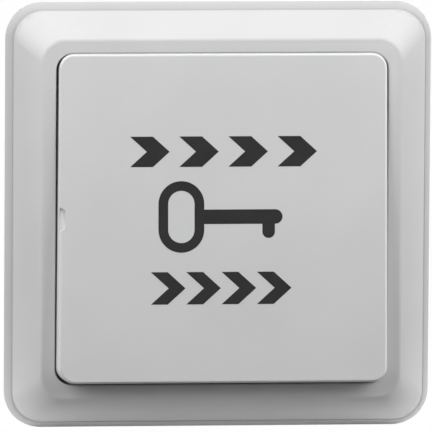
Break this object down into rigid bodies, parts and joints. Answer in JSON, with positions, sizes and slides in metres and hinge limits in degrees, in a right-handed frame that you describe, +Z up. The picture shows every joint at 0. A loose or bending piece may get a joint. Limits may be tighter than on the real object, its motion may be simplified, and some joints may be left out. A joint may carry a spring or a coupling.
{
  "type": "door exit button",
  "caption": "Square wall plate with a bevelled frame round one large hinged push key, and a push-to-make switch body with screw terminals behind it.",
  "frame": {"origin": "midway between the two fixing screw slots, on the wall plane", "axes": "+Z up, +X right seen from the front, +Y into the wall: the front faces -Y"},
  "size_m": [0.086, 0.0273, 0.086],
  "materials": {
    "frame_plastic": "satin moulded, light grey-white",
    "key_plastic": "satin moulded, light grey-white",
    "base_plastic": "plain moulded",
    "switch_plastic": "glass-filled, dull",
    "cover_plastic": "dull black",
    "plunger_plastic": "smooth",
    "brass": "stamped",
    "contact_silver": "satin silver alloy",
    "spring_steel": "drawn wire",
    "zinc_steel": "zinc plated",
    "rubber": "dull"
  },
  "bodies": {
    "plate": {"front_frame": "frame_plastic", "mounting_base": "base_plastic", "switch_housing": "switch_plastic", "switch_cover": "cover_plastic", "return_spring": "spring_steel", "key_spring_left": "spring_steel", "key_spring_right": "spring_steel", "bumper_left": "rubber", "bumper_right": "rubber", "terminal_strip_left": "brass", "terminal_strip_right": "brass", "fixed_contact_left": "contact_silver", "fixed_contact_right": "contact_silver", "clamp_washer_left": "zinc_steel", "clamp_washer_right": "zinc_steel", "terminal_screw_left": "zinc_steel", "terminal_screw_right": "zinc_steel", "housing_screws": "zinc_steel", "cover_screws": "zinc_steel"},
    "key": {"key_plate": "key_plastic"},
    "plunger": {"plunger": "plunger_plastic", "contact_bridge": "brass", "bridge_contacts": "contact_silver", "bridge_clip": "spring_steel", "contact_spring": "spring_steel"}
  },
  "joints": [
    {"name": "key_press", "type": "hinge", "parent": "plate", "child": "key", "pos_m": [0, -0.0045, 0.02743], "axis": [1, 0, 0], "range_deg": [0, 3.5], "stiffness_Nm_per_rad": 1.1, "springref_deg": -4.01, "deforming": ["key_spring_left", "key_spring_right"]},
    {"name": "plunger_slide", "type": "slide", "parent": "plate", "child": "plunger", "axis": [0, 1, 0], "range_m": [0, 0.00168], "deforming": ["return_spring"]}
  ],
  "couplings": [
    {"joint": "plunger_slide", "follows": "key_press", "m_per_rad": 0.02749}
  ]
}
